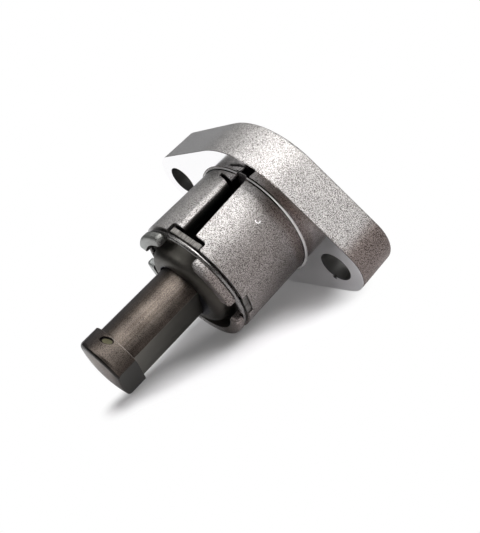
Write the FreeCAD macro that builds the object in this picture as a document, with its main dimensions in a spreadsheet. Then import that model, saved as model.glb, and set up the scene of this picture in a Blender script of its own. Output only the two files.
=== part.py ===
import FreeCAD, Part
import math
import os
import re
import Sketcher

# Timing chain tensioner, millimetres and degrees. Every piece is drawn about the plunger axis,
# local Z pointing out of the engine side towards the plunger tip, with the origin where that axis
# crosses the machined face of the flange. LAID_DOWN then turns the whole assembly so that the
# plunger points along -Y, the two bolt holes lie along X and the spring slot is on top, at +Z.

Vector = FreeCAD.Vector
ORIGIN = Vector(0, 0, 0)
X_AXIS = Vector(1, 0, 0)
Z_AXIS = Vector(0, 0, 1)
LAID_DOWN = FreeCAD.Placement(ORIGIN, FreeCAD.Rotation(X_AXIS, 90))
EDGE_TOLERANCE = 0.02  # how far from its nominal place an edge is still taken for the one meant

SIZES = {
    # flange
    "bolt_spacing": 40.0,
    "bolt_hole_radius": 3.3,
    "flange_thickness": 9.0,
    "flange_end_offset": 19.7,
    "flange_end_radius": 6.33,
    "flange_middle_radius": 17.04,
    "flange_back_round": 0.7,
    # barrel that enters the engine
    "barrel_radius": 12.85,
    "barrel_shoulder": 16.4,
    "barrel_root_round": 0.6,
    "bore_radius": 8.3,
    "bore_floor_wall": 3.0,
    "mouth_radius": 10.6,
    # groove of the snap ring and the lips above it
    "ring_groove_width": 1.25,
    "ring_groove_radius": 11.35,
    "lip_radius": 12.65,
    "lip_height": 1.5,
    "lip_round": 0.7,
    # spring slot, as seen from above, and its hook recess
    "slot_start": -0.25,
    "slot_reach": 13.9,
    "slot_right_start": 1.25,
    "slot_left_start": 1.12,
    "slot_right_end": 2.15,
    "slot_left_end": 0.65,
    "slot_edge_round": 1.5,
    "hook_recess_angle": 109.5,
    "hook_recess_width": 0.8,
    "hook_height_inner": 2.47,
    "hook_height_outer": 1.35,
    # notches for the ears of the guide plate
    "notch_wide_angle": 87.7,
    "notch_wide_width": 7.98,
    "notch_wide_clearance": 0.6,
    "notch_right_angle": 6.5,
    "notch_right_width": 4.6,
    "notch_left_angle": 175.0,
    "notch_left_width": 5.2,
    "notch_corner_round": 0.5,
    # rear boss and its threaded access hole
    "boss_radius": 8.0,
    "boss_height": 1.5,
    "boss_chamfer": 0.5,
    "plug_hole_radius": 3.0,
    "plug_hole_chamfer": 0.4,
    # dished guide plate
    "plate_thickness": 1.2,
    "plate_radius": 10.3,
    "dome_foot_radius": 9.7,
    "dome_rise": 3.6,
    "dome_slope": 72.0,
    "dome_top_round": 2.4,
    "dome_foot_round": 0.7,
    "ear_play": 0.7,
    "ear_wide_width": 7.0,
    "ear_wide_reach": 12.2,
    "ear_narrow_width": 4.2,
    "ear_narrow_reach": 12.5,
    "ear_edge_round": 0.2,
    "guide_clearance": 0.3,
    # snap ring
    "ring_wire": 0.95,
    "ring_float": 0.05,
    "ring_gap_angle": 16.0,
    # plunger: a tube with one milled flat
    "plunger_radius": 5.76,
    "plunger_flat": 3.95,
    "plunger_flat_angle": -9.5,
    "foot_length": 4.0,
    "rod_length": 20.2,
    "plunger_stop_clearance": 0.15,
    "plunger_rear_chamfer": 0.4,
    # cap pressed over the plunger tip
    "cap_clearance": 0.02,
    "cap_wall": 0.78,
    "cap_flat_wall": 0.61,
    "cap_skirt": 2.85,
    "cap_end_thickness": 1.3,
    "cap_crown_rise": 0.9,
    "cap_edge_round": 0.85,
    "cap_flat_round": 0.25,
    "cap_rim_round": 0.12,
    "dimple_offset": 1.0,
    "dimple_length": 2.6,
    "dimple_width": 1.2,
    "dimple_tilt": 20.0,
    "dimple_depth": 0.45,
    # adjuster screw
    "screw_radius": 2.95,
    "screw_clearance": 0.07,
    "screw_engagement": 7.5,
    "screw_tip_chamfer": 0.6,
    "collar_radius": 4.4,
    "collar_height": 3.7,
    "screw_slot_depth": 3.0,
    "screw_slot_clearance": 0.1,
    "thrust_clearance": 0.05,
    # thrust washer at the bottom of the bore
    "thrust_radius": 5.4,
    "thrust_hole_radius": 3.3,
    "thrust_thickness": 0.8,
    # torsion spring
    "spring_wire": 0.5,
    "spring_coil_radius": 7.2,
    "spring_pitch": 0.9,
    "spring_full_turns": 5,
    "hook_leg_angle": 107.0,
    "hook_leg_reach": 11.6,
    "inner_leg_reach": 3.0,
    # sealing screw and washer at the rear, M6
    "seal_hole_radius": 3.1,
    "seal_radius": 5.2,
    "seal_thickness": 1.0,
    "plug_clearance": 0.02,
    "plug_length": 5.0,
    "plug_chamfer": 0.5,
    "plug_head_height": 4.0,
    "plug_head_flats": 8.0,
    "plug_head_bevel": 30.0,
}

# heights and tables that several pieces share
GROOVE_TOP = "barrel_shoulder + ring_groove_width"
LIP_TOP = GROOVE_TOP + " + lip_height"
PLATE_RIM = "(barrel_shoulder + ring_float)"
PLATE_SEAT = "(barrel_shoulder + ring_float - plate_thickness)"
WIDE_FLOOR = "(barrel_shoulder + ring_float - plate_thickness - notch_wide_clearance)"
FOOT_TOP = PLATE_SEAT + " + dome_rise - plunger_stop_clearance"
PLUNGER_REAR = FOOT_TOP + " - foot_length"
PLUNGER_FRONT = FOOT_TOP + " + rod_length"
SCREW_TIP = PLUNGER_REAR + " + screw_engagement"
BORE_FLOOR = "bore_floor_wall - flange_thickness"
BOSS_FACE = "-flange_thickness - boss_height"
SCREW_REAR = BORE_FLOOR + " + thrust_thickness + thrust_clearance"
HOOK_LEG_MIDDLE = "(bore_radius + hook_leg_reach) / 2 * cos(hook_leg_angle)"
HOOK_LEG_HEIGHT = ("hook_height_inner - (hook_height_inner - hook_height_outer) * "
                   + HOOK_LEG_MIDDLE + " / (barrel_radius * cos(hook_recess_angle))")
SPRING_TURNS = "(spring_full_turns + 0.5)"
SPRING_END = HOOK_LEG_HEIGHT + " - spring_pitch * " + SPRING_TURNS
NOTCHES = (
    ("wide_notch", "notch_wide_angle", "notch_wide_width", WIDE_FLOOR),
    ("right_notch", "notch_right_angle", "notch_right_width", PLATE_SEAT),
    ("left_notch", "notch_left_angle", "notch_left_width", PLATE_SEAT),
)
EARS = (
    ("wide_ear", "notch_wide_angle - ear_play", "ear_wide_width", "ear_wide_reach"),
    ("right_ear", "notch_right_angle - ear_play", "ear_narrow_width", "ear_narrow_reach"),
    ("left_ear", "notch_left_angle - ear_play", "ear_narrow_width", "ear_narrow_reach"),
)

COIL_SECTION_ANGLES = range(20, 380, 45)  # an eight-sided section is enough inside the bore

doc = FreeCAD.newDocument("timing_chain_tensioner")
sheet = doc.addObject("Spreadsheet::Sheet", "Sizes")
for row, (alias, value) in enumerate(SIZES.items(), start=1):
    sheet.set(f"A{row}", alias)
    sheet.set(f"B{row}", str(value))
    sheet.setAlias(f"B{row}", alias)
doc.recompute()


def size(expression):
    """Value of an expression in the sheet's aliases, as a plain number."""
    return float(sheet.evalExpression(expression))


def bound(expression):
    """The same expression as other objects of the document write it."""
    def qualify(word):
        return "Sizes." + word.group() if word.group() in SIZES else word.group()
    return re.sub("[a-z_]+", qualify, expression)


def new_body(name, placement=LAID_DOWN):
    body = doc.addObject("PartDesign::Body", name)
    body.Label = name
    body.Placement = placement
    return body


def new_sketch(body, name, role="XY_Plane", height="0", turn="0"):
    """Sketch on one of the body's own planes, lifted along and turned about that plane's normal."""
    sketch = body.newObject("Sketcher::SketchObject", name)
    plane = [item for item in body.Origin.OriginFeatures if item.Role == role][0]
    sketch.AttachmentSupport = [(plane, "")]
    sketch.MapMode = "FlatFace"
    sketch.AttachmentOffset = FreeCAD.Placement(
        Vector(0, 0, size(height)), FreeCAD.Rotation(Z_AXIS, size(turn)))
    if height != "0":
        sketch.setExpression(".AttachmentOffset.Base.z", bound(height))
    if turn != "0":
        sketch.setExpression(".AttachmentOffset.Rotation.Angle", bound(turn))
    return sketch


def bind(sketch, constraint, expression):
    """Adds a dimension and ties it to the sheet."""
    index = sketch.addConstraint(constraint)
    sketch.setExpression(f"Constraints[{index}]", bound(expression))


def place_point(sketch, edge, end, x, y):
    """Fixes one end of a sketch edge at two expressions, with "0" meaning on that axis."""
    if x == "0":
        sketch.addConstraint(Sketcher.Constraint("PointOnObject", edge, end, -2))
    else:
        bind(sketch, Sketcher.Constraint("DistanceX", -1, 1, edge, end, size(x)), x)
    if y == "0":
        sketch.addConstraint(Sketcher.Constraint("PointOnObject", edge, end, -1))
    else:
        bind(sketch, Sketcher.Constraint("DistanceY", -1, 1, edge, end, size(y)), y)


def draw_polygon(sketch, corners):
    """Straight closed outline through corners given as pairs of expressions."""
    points = [Vector(size(x), size(y), 0) for x, y in corners]
    for index, point in enumerate(points):
        following = points[(index + 1) % len(points)]
        sketch.addGeometry(Part.LineSegment(point, following))
    for index, (x, y) in enumerate(corners):
        before = (index - 1) % len(corners)
        sketch.addConstraint(Sketcher.Constraint("Coincident", before, 2, index, 1))
        place_point(sketch, index, 1, x, y)


def draw_circle(sketch, radius, x="0", y="0"):
    centre = Vector(size(x), size(y), 0)
    edge = sketch.addGeometry(Part.Circle(centre, Z_AXIS, size(radius)))
    place_point(sketch, edge, 3, x, y)
    bind(sketch, Sketcher.Constraint("Radius", edge, size(radius)), radius)


def draw_flatted_circle(sketch, radius, flat):
    """Circle about the origin cut by one chord, which faces the sketch's +X."""
    reach = size(radius)
    chord = size(flat)
    half = math.sqrt(reach * reach - chord * chord)
    angle = math.acos(chord / reach)
    arc = sketch.addGeometry(Part.ArcOfCircle(
        Part.Circle(ORIGIN, Z_AXIS, reach), angle, 2 * math.pi - angle))
    line = sketch.addGeometry(Part.LineSegment(Vector(chord, -half, 0), Vector(chord, half, 0)))
    sketch.addConstraint(Sketcher.Constraint("Coincident", arc, 3, -1, 1))
    sketch.addConstraint(Sketcher.Constraint("Coincident", arc, 2, line, 1))
    sketch.addConstraint(Sketcher.Constraint("Coincident", line, 2, arc, 1))
    sketch.addConstraint(Sketcher.Constraint("Vertical", line))
    bind(sketch, Sketcher.Constraint("DistanceX", -1, 1, line, 1, chord), flat)
    bind(sketch, Sketcher.Constraint("Radius", arc, reach), radius)


def draw_belt(sketch, arcs):
    """Closed outline of arcs, each joined to the next by the tangent between them."""
    edges = []
    for x, y, radius, start, finish in arcs:
        circle = Part.Circle(Vector(size(x), size(y), 0), Z_AXIS, size(radius))
        edge = sketch.addGeometry(Part.ArcOfCircle(circle, start, finish))
        place_point(sketch, edge, 3, x, y)
        bind(sketch, Sketcher.Constraint("Radius", edge, size(radius)), radius)
        edges.append(edge)
    for index, edge in enumerate(edges):
        following = edges[(index + 1) % len(edges)]
        span = Part.LineSegment(sketch.getPoint(edge, 2), sketch.getPoint(following, 1))
        tangent = sketch.addGeometry(span)
        sketch.addConstraint(Sketcher.Constraint("Tangent", edge, 2, tangent, 1))
        sketch.addConstraint(Sketcher.Constraint("Tangent", tangent, 2, following, 1))


def extrude(body, kind, name, sketch, length=None, backwards=False):
    """Pad or Pocket of a sketch, by a bound length or, for a Pocket, through everything."""
    feature = body.newObject("PartDesign::" + kind, name)
    feature.Profile = sketch
    feature.Reversed = backwards
    if length is None:
        feature.Type = "ThroughAll"
    else:
        feature.setExpression("Length", bound(length))
    sketch.Visibility = False
    return feature


def revolve(body, kind, name, sketch):
    """Revolution or Groove about the vertical axis of the sketch."""
    feature = body.newObject("PartDesign::" + kind, name)
    feature.Profile = sketch
    feature.ReferenceAxis = (sketch, ["V_Axis"])
    feature.Angle = 360
    return feature


def edges_of(feature, wanted):
    """Names of the feature's edges whose middle point passes the test."""
    names = []
    for index, edge in enumerate(feature.Shape.Edges, start=1):
        middle = edge.valueAt((edge.FirstParameter + edge.LastParameter) / 2)
        if wanted(edge, middle):
            names.append(f"Edge{index}")
    return names


def dress(body, kind, name, expression, wanted):
    """Fillet or Chamfer of a bound size on the wanted edges of the body's last feature."""
    doc.recompute()
    base = body.Tip
    names = edges_of(base, wanted)
    if not names:
        raise RuntimeError(f"{name} finds no edge")
    feature = body.newObject("PartDesign::" + kind, name)
    feature.Base = (base, names)
    feature.setExpression("Radius" if kind == "Fillet" else "Size", bound(expression))
    return feature


def radius_at(point):
    return math.hypot(point.x, point.y)


def near(value, target):
    return abs(value - target) < EDGE_TOLERANCE


def ring_edge(radius, height):
    """Test for a circular edge about the axis at a given radius and height."""
    def test(edge, middle):
        return near(radius_at(middle), size(radius)) and near(middle.z, size(height)) and near(
            edge.BoundBox.ZLength, 0)
    return test


def make_housing():
    """Cast flange and barrel in one piece, machined on the front face and in the bore."""
    body = new_body("housing")
    add_flange(body)
    add_barrel(body)
    add_boss(body)
    cut_bore(body)
    cut_notches(body)
    cut_spring_slot(body)
    round_lips(body)

    holes = new_sketch(body, "bolt_hole_circles")
    draw_circle(holes, "bolt_hole_radius", "bolt_spacing / 2")
    draw_circle(holes, "bolt_hole_radius", "-bolt_spacing / 2")
    extrude(body, "Pocket", "bolt_holes", holes)


def add_flange(body):
    """Rhombus: two end arcs, two middle arcs and the four tangents between them."""
    outline = new_sketch(body, "flange_outline")
    lean = math.acos(
        (size("flange_middle_radius") - size("flange_end_radius")) / size("flange_end_offset"))
    draw_belt(outline, [
        ("flange_end_offset", "0", "flange_end_radius", -lean, lean),
        ("0", "0", "flange_middle_radius", lean, math.pi - lean),
        ("-flange_end_offset", "0", "flange_end_radius", math.pi - lean, math.pi + lean),
        ("0", "0", "flange_middle_radius", math.pi + lean, 2 * math.pi - lean),
    ])
    extrude(body, "Pad", "flange", outline, "flange_thickness", backwards=True)
    dress(body, "Fillet", "flange_back_edge", "flange_back_round",
          lambda edge, middle: near(middle.z, -size("flange_thickness")))


def add_barrel(body):
    """Barrel, ring groove and lip ring as one turned profile, rounded into the flange face."""
    barrel = new_sketch(body, "barrel_profile", "XZ_Plane")
    draw_polygon(barrel, [
        ("0", "-flange_thickness / 2"),
        ("barrel_radius", "-flange_thickness / 2"),
        ("barrel_radius", "barrel_shoulder"),
        ("ring_groove_radius", "barrel_shoulder"),
        ("ring_groove_radius", GROOVE_TOP),
        ("lip_radius", GROOVE_TOP),
        ("lip_radius", LIP_TOP),
        ("0", LIP_TOP),
    ])
    revolve(body, "Revolution", "barrel", barrel)
    dress(body, "Fillet", "barrel_root", "barrel_root_round", ring_edge("barrel_radius", "0"))


def add_boss(body):
    """Low round boss at the rear, round the access hole."""
    boss = new_sketch(body, "boss_outline", height="-flange_thickness")
    draw_circle(boss, "boss_radius")
    extrude(body, "Pad", "boss", boss, "boss_height", backwards=True)
    dress(body, "Chamfer", "boss_rim", "boss_chamfer", ring_edge("boss_radius", BOSS_FACE))


def cut_bore(body):
    """Mouth for the guide plate, spring chamber and threaded access hole."""
    bore = new_sketch(body, "bore_profile", "XZ_Plane")
    draw_polygon(bore, [
        ("0", "-2 * flange_thickness"),
        ("plug_hole_radius", "-2 * flange_thickness"),
        ("plug_hole_radius", BORE_FLOOR),
        ("bore_radius", BORE_FLOOR),
        ("bore_radius", PLATE_SEAT),
        ("mouth_radius", PLATE_SEAT),
        ("mouth_radius", "2 * barrel_shoulder"),
        ("0", "2 * barrel_shoulder"),
    ])
    revolve(body, "Groove", "bore", bore)
    dress(body, "Chamfer", "plug_hole_mouth", "plug_hole_chamfer",
          ring_edge("plug_hole_radius", BOSS_FACE))


def cut_notches(body):
    """Notches that the plate's ears drop into, open to the mouth and between the lips."""
    for name, angle, width, floor in NOTCHES:
        notch = new_sketch(body, name + "_outline", height=floor, turn=angle)
        draw_polygon(notch, [
            ("bore_radius / 2", "-" + width + " / 2"),
            ("2 * barrel_radius", "-" + width + " / 2"),
            ("2 * barrel_radius", width + " / 2"),
            ("bore_radius / 2", width + " / 2"),
        ])
        extrude(body, "Pocket", name, notch, backwards=True)
    floor = size(WIDE_FLOOR)
    dress(body, "Fillet", "notch_corners", "notch_corner_round",
          lambda edge, middle: near(middle.z, floor) and near(edge.BoundBox.ZLength, 0)
          and edge.Curve.TypeId == "Part::GeomLine" and radius_at(middle) > size("bore_radius"))


def cut_spring_slot(body):
    """Slot that the outer leg of the spring slides down, and the recess that hooks the leg."""
    slot = new_sketch(body, "slot_outline", "XZ_Plane", height="-bore_radius / 2")
    draw_polygon(slot, [
        ("slot_right_start", "slot_start"),
        ("slot_right_end", PLATE_SEAT),
        ("-slot_left_end", PLATE_SEAT),
        ("-slot_left_start", "slot_start"),
    ])
    extrude(body, "Pocket", "spring_slot", slot, "slot_reach - bore_radius / 2")
    hook = new_sketch(body, "hook_outline", "XZ_Plane", height="-bore_radius / 2")
    end_x = "barrel_radius * cos(hook_recess_angle)"
    draw_polygon(hook, [
        ("0", "hook_height_inner - hook_recess_width / 2"),
        ("0", "hook_height_inner + hook_recess_width / 2"),
        (end_x, "hook_height_outer + hook_recess_width / 2"),
        (end_x, "hook_height_outer - hook_recess_width / 2"),
    ])
    extrude(body, "Pocket", "hook_recess", hook, "barrel_radius")
    outer = size("barrel_radius")
    dress(body, "Fillet", "slot_left_edge", "slot_edge_round",
          lambda edge, middle: near(radius_at(middle), outer) and middle.x < 0
          and middle.y > 0 and edge.BoundBox.ZLength > size("barrel_shoulder") / 2)


def round_lips(body):
    """Cast lips with soft outer edges and ends; the machined mouth keeps its sharp inner edge."""
    bottom = size(GROOVE_TOP) + EDGE_TOLERANCE
    mouth = size("mouth_radius") + EDGE_TOLERANCE
    dress(body, "Fillet", "lip_edges", "lip_round",
          lambda edge, middle: middle.z > bottom and radius_at(middle) > mouth)


def make_guide_plate():
    """Dished plate with a flatted guide hole, held in the mouth by three ears."""
    body = new_body("guide_plate")
    profile = new_sketch(body, "plate_profile", "XZ_Plane")
    crest_radius = "dome_foot_radius - dome_rise / tan(dome_slope)"
    shift = "plate_thickness * tan(dome_slope / 2)"
    draw_polygon(profile, [
        ("plate_radius", PLATE_SEAT),
        ("plate_radius", PLATE_RIM),
        ("dome_foot_radius", PLATE_RIM),
        (crest_radius, PLATE_RIM + " + dome_rise"),
        ("0", PLATE_RIM + " + dome_rise"),
        ("0", PLATE_SEAT + " + dome_rise"),
        (crest_radius + " - " + shift, PLATE_SEAT + " + dome_rise"),
        ("dome_foot_radius - " + shift, PLATE_SEAT),
    ])
    revolve(body, "Revolution", "dish", profile)
    dress(body, "Fillet", "dome_top", "dome_top_round",
          ring_edge(crest_radius, PLATE_RIM + " + dome_rise"))
    dress(body, "Fillet", "dome_foot", "dome_foot_round", ring_edge("dome_foot_radius", PLATE_RIM))
    for name, angle, width, reach in EARS:
        ear = new_sketch(body, name + "_outline", height=PLATE_SEAT, turn=angle)
        draw_polygon(ear, [
            ("dome_foot_radius", "-" + width + " / 2"),
            (reach, "-" + width + " / 2"),
            (reach, width + " / 2"),
            ("dome_foot_radius", width + " / 2"),
        ])
        extrude(body, "Pad", name, ear, "plate_thickness")
        outward = FreeCAD.Rotation(Z_AXIS, size(angle)).multVec(X_AXIS)
        dress(body, "Fillet", name + "_end", "ear_edge_round",
              lambda edge, middle: near(middle.dot(outward), size(reach)))
    hole = new_sketch(body, "guide_hole_outline", turn="plunger_flat_angle")
    draw_flatted_circle(hole, "plunger_radius + guide_clearance", "plunger_flat + guide_clearance")
    extrude(body, "Pocket", "guide_hole", hole, backwards=True)


def make_snap_ring():
    """Round wire ring, open at the bottom, resting above the plate's ears."""
    body = new_body("snap_ring")
    section = new_sketch(body, "wire_section", "YZ_Plane")
    draw_circle(section, "ring_wire / 2", "ring_groove_radius + ring_wire / 2 + ring_float",
                PLATE_RIM + " + ring_wire / 2 + ring_float")
    ring = revolve(body, "Revolution", "ring", section)
    ring.Midplane = True
    ring.setExpression("Angle", bound("360 - ring_gap_angle"))


def make_plunger():
    """Tube with one milled flat; its round foot stops under the guide plate."""
    body = new_body("plunger")
    foot = new_sketch(body, "foot_outline", height=PLUNGER_REAR)
    draw_circle(foot, "plunger_radius")
    extrude(body, "Pad", "foot", foot, "foot_length")
    rod = new_sketch(body, "rod_outline", height=FOOT_TOP, turn="plunger_flat_angle")
    draw_flatted_circle(rod, "plunger_radius", "plunger_flat")
    extrude(body, "Pad", "rod", rod, "rod_length")
    thread = new_sketch(body, "thread_hole_outline", height=PLUNGER_REAR)
    draw_circle(thread, "screw_radius + screw_clearance")
    extrude(body, "Pocket", "thread_hole", thread, backwards=True)
    dress(body, "Chamfer", "foot_chamfer", "plunger_rear_chamfer",
          ring_edge("plunger_radius", PLUNGER_REAR))


def make_plunger_cap():
    """Drawn cap over the plunger tip, with the plunger's flat and a slightly crowned end."""
    body = new_body("plunger_cap")
    cap_radius = "plunger_radius + cap_clearance + cap_wall"
    inner_end = PLUNGER_FRONT + " + cap_clearance"
    rim = inner_end + " - cap_skirt"
    edge_height = inner_end + " + cap_end_thickness"
    profile = new_sketch(body, "cap_profile", "XZ_Plane")
    draw_crowned_profile(profile, cap_radius, rim, edge_height, "cap_crown_rise")
    revolve(body, "Revolution", "crowned_cap", profile)
    dress(body, "Fillet", "cap_end_edge", "cap_edge_round", ring_edge(cap_radius, edge_height))
    flat = new_sketch(body, "cap_flat_outline", height=rim, turn="plunger_flat_angle")
    flat_x = "plunger_flat + cap_clearance + cap_flat_wall"
    draw_polygon(flat, [
        (flat_x, "-2 * plunger_radius"),
        ("3 * plunger_radius", "-2 * plunger_radius"),
        ("3 * plunger_radius", "2 * plunger_radius"),
        (flat_x, "2 * plunger_radius"),
    ])
    extrude(body, "Pocket", "cap_flat", flat, backwards=True)
    rim_height = size(rim)
    dress(body, "Fillet", "cap_rim_edge", "cap_rim_round",
          lambda edge, middle: near(middle.z, rim_height))
    hollow = new_sketch(body, "cap_hollow_outline", height=rim, turn="plunger_flat_angle")
    draw_flatted_circle(hollow, "plunger_radius + cap_clearance", "plunger_flat + cap_clearance")
    extrude(body, "Pocket", "cap_hollow", hollow, "cap_skirt", backwards=True)
    wall_top = size(edge_height)
    outward = FreeCAD.Rotation(Z_AXIS, size("plunger_flat_angle")).multVec(X_AXIS)
    dress(body, "Fillet", "cap_flat_end", "cap_flat_round",
          lambda edge, middle: middle.z > wall_top and near(middle.dot(outward), size(flat_x)))
    cut_stake_dimple(body, cap_radius, rim + " + dimple_offset")


def cut_stake_dimple(body, cap_radius, height):
    """Short slanted dimple punched into the skirt, on the side that faces up."""
    dimple = new_sketch(body, "dimple_outline", "XZ_Plane", height="-(" + cap_radius + ")")
    half = "(dimple_length - dimple_width) / 2"
    across = half + " * cos(dimple_tilt)"
    along = half + " * sin(dimple_tilt)"
    lean = math.radians(size("dimple_tilt"))
    quarter = math.pi / 2
    draw_belt(dimple, [
        (across, height + " - " + along, "dimple_width / 2", -quarter - lean, quarter - lean),
        ("-" + across, height + " + " + along, "dimple_width / 2", quarter - lean,
         3 * quarter - lean),
    ])
    extrude(body, "Pocket", "stake_dimple", dimple, "dimple_depth", backwards=True)


def draw_crowned_profile(sketch, radius, bottom, edge_height, crown_rise):
    """Half section of a solid round bar whose top is a shallow dome."""
    reach = size(radius)
    low = size(bottom)
    high = size(edge_height)
    rise = size(crown_rise)
    dome_radius = (reach * reach + rise * rise) / (2 * rise)
    centre = Vector(0, high + rise - dome_radius, 0)
    edge_angle = math.atan2(high - centre.y, reach)
    dome = Part.ArcOfCircle(Part.Circle(centre, Z_AXIS, dome_radius), edge_angle, math.pi / 2)
    axis = Part.LineSegment(Vector(0, high + rise, 0), Vector(0, low, 0))
    base = Part.LineSegment(Vector(0, low, 0), Vector(reach, low, 0))
    wall = Part.LineSegment(Vector(reach, low, 0), Vector(reach, high, 0))
    dome, axis, base, wall = [sketch.addGeometry(item) for item in (dome, axis, base, wall)]
    for before, after, end, start in ((dome, axis, 2, 1), (axis, base, 2, 1), (base, wall, 2, 1)):
        sketch.addConstraint(Sketcher.Constraint("Coincident", before, end, after, start))
    sketch.addConstraint(Sketcher.Constraint("Coincident", wall, 2, dome, 1))
    sketch.addConstraint(Sketcher.Constraint("PointOnObject", dome, 3, -2))
    place_point(sketch, axis, 1, "0", edge_height + " + " + crown_rise)
    place_point(sketch, base, 1, "0", bottom)
    place_point(sketch, wall, 1, radius, bottom)
    place_point(sketch, wall, 2, radius, edge_height)


def make_adjuster_screw():
    """Screw inside the plunger; its collar carries the slot for the spring and a screwdriver."""
    body = new_body("adjuster_screw")
    rear = SCREW_REAR
    profile = new_sketch(body, "screw_profile", "XZ_Plane")
    draw_polygon(profile, [
        ("0", rear),
        ("collar_radius", rear),
        ("collar_radius", rear + " + collar_height"),
        ("screw_radius", rear + " + collar_height"),
        ("screw_radius", SCREW_TIP),
        ("0", SCREW_TIP),
    ])
    revolve(body, "Revolution", "screw", profile)
    slot = new_sketch(body, "driver_slot_outline", height=rear, turn="hook_leg_angle")
    slot_half = "(spring_wire / 2 + screw_slot_clearance)"
    draw_polygon(slot, [
        ("-2 * collar_radius", "-" + slot_half),
        ("2 * collar_radius", "-" + slot_half),
        ("2 * collar_radius", slot_half),
        ("-2 * collar_radius", slot_half),
    ])
    extrude(body, "Pocket", "driver_slot", slot, "screw_slot_depth", backwards=True)
    dress(body, "Chamfer", "screw_tip_edge", "screw_tip_chamfer",
          ring_edge("screw_radius", SCREW_TIP))


def make_torsion_spring():
    """Left-hand coil below its outer leg; the inner leg crosses to the screw's slot."""
    along_leg = FreeCAD.Placement(ORIGIN, FreeCAD.Rotation(Z_AXIS, size("hook_leg_angle")))
    body = new_body("torsion_spring", LAID_DOWN * along_leg)
    wire = new_sketch(body, "wire_section", "XZ_Plane")
    draw_polygon(wire, [
        (f"spring_coil_radius + spring_wire / 2 * cos({angle})",
         f"{HOOK_LEG_HEIGHT} + spring_wire / 2 * sin({angle})")
        for angle in COIL_SECTION_ANGLES
    ])
    coil = body.newObject("PartDesign::AdditiveHelix", "coil")
    coil.Profile = wire
    coil.ReferenceAxis = (wire, ["V_Axis"])
    coil.Mode = "pitch-turns-angle"
    coil.LeftHanded = True
    coil.Reversed = True
    coil.setExpression("Pitch", bound("spring_pitch"))
    coil.setExpression("Turns", bound(SPRING_TURNS))
    doc.recompute()
    outer = new_sketch(body, "outer_leg_section", "YZ_Plane", height="spring_coil_radius")
    draw_circle(outer, "spring_wire / 2", "0", HOOK_LEG_HEIGHT)
    extrude(body, "Pad", "outer_leg", outer, "hook_leg_reach - spring_coil_radius")
    inner = new_sketch(body, "inner_leg_section", "YZ_Plane", height="-spring_coil_radius")
    draw_circle(inner, "spring_wire / 2", "0", SPRING_END)
    extrude(body, "Pad", "inner_leg", inner, "spring_coil_radius + inner_leg_reach")


def make_washer(name, height, hole, radius, thickness):
    body = new_body(name)
    ring = new_sketch(body, name + "_outline", height=height)
    draw_circle(ring, radius)
    draw_circle(ring, hole)
    extrude(body, "Pad", name + "_ring", ring, thickness)


def make_sealing_screw():
    """Hexagon screw that closes the access hole."""
    body = new_body("sealing_screw")
    under_head = BOSS_FACE + " - seal_thickness"
    head = new_sketch(body, "head_outline", height=under_head)
    corner = "plug_head_flats / 2 / cos(30)"
    draw_polygon(head, [(f"{corner} * cos({60 * side})", f"{corner} * sin({60 * side})")
                        if side % 3 else (f"{corner} * cos({60 * side})", "0")
                        for side in range(6)])
    extrude(body, "Pad", "head", head, "plug_head_height", backwards=True)
    bevel = new_sketch(body, "head_bevel_outline", "XZ_Plane")
    head_end = under_head + " - plug_head_height"
    draw_polygon(bevel, [
        ("plug_head_flats / 2", head_end),
        ("plug_head_flats", head_end),
        ("plug_head_flats", head_end + " + plug_head_flats / 2 * tan(plug_head_bevel)"),
    ])
    revolve(body, "Groove", "head_bevel", bevel)
    shank = new_sketch(body, "shank_outline", height=under_head)
    draw_circle(shank, "plug_hole_radius - plug_clearance")
    extrude(body, "Pad", "shank", shank, "plug_length")
    dress(body, "Chamfer", "shank_end", "plug_chamfer",
          ring_edge("plug_hole_radius - plug_clearance", under_head + " + plug_length"))


def check_document():
    """Stops on any failed feature, and on any cut that takes nothing away."""
    for item in doc.Objects:
        if "Invalid" in item.State or "Error" in item.State:
            raise RuntimeError(f"{item.Name} failed: {item.State}")
        if item.TypeId in ("PartDesign::Pocket", "PartDesign::Groove"):
            if item.Shape.Volume > item.BaseFeature.Shape.Volume - 0.01:
                raise RuntimeError(f"{item.Name} cuts nothing")


make_housing()
make_guide_plate()
make_snap_ring()
make_plunger()
make_plunger_cap()
make_adjuster_screw()
make_torsion_spring()
make_washer("thrust_washer", BORE_FLOOR, "thrust_hole_radius", "thrust_radius", "thrust_thickness")
make_washer("sealing_washer", BOSS_FACE + " - seal_thickness", "seal_hole_radius", "seal_radius",
            "seal_thickness")
make_sealing_screw()
doc.recompute()
check_document()
os.makedirs("parts", exist_ok=True)
for body in doc.findObjects("PartDesign::Body"):
    shape = body.Shape
    if shape.isNull() or not shape.isValid() or len(shape.Solids) != 1:
        raise RuntimeError(f"{body.Label} is not one valid solid")
    shape.exportStep(f"parts/{body.Label}.step")
    print(f"{body.Label:16} {shape.Volume:9.1f} mm3")
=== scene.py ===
import math

import bmesh
import bpy
from mathutils import Matrix, Vector


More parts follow.
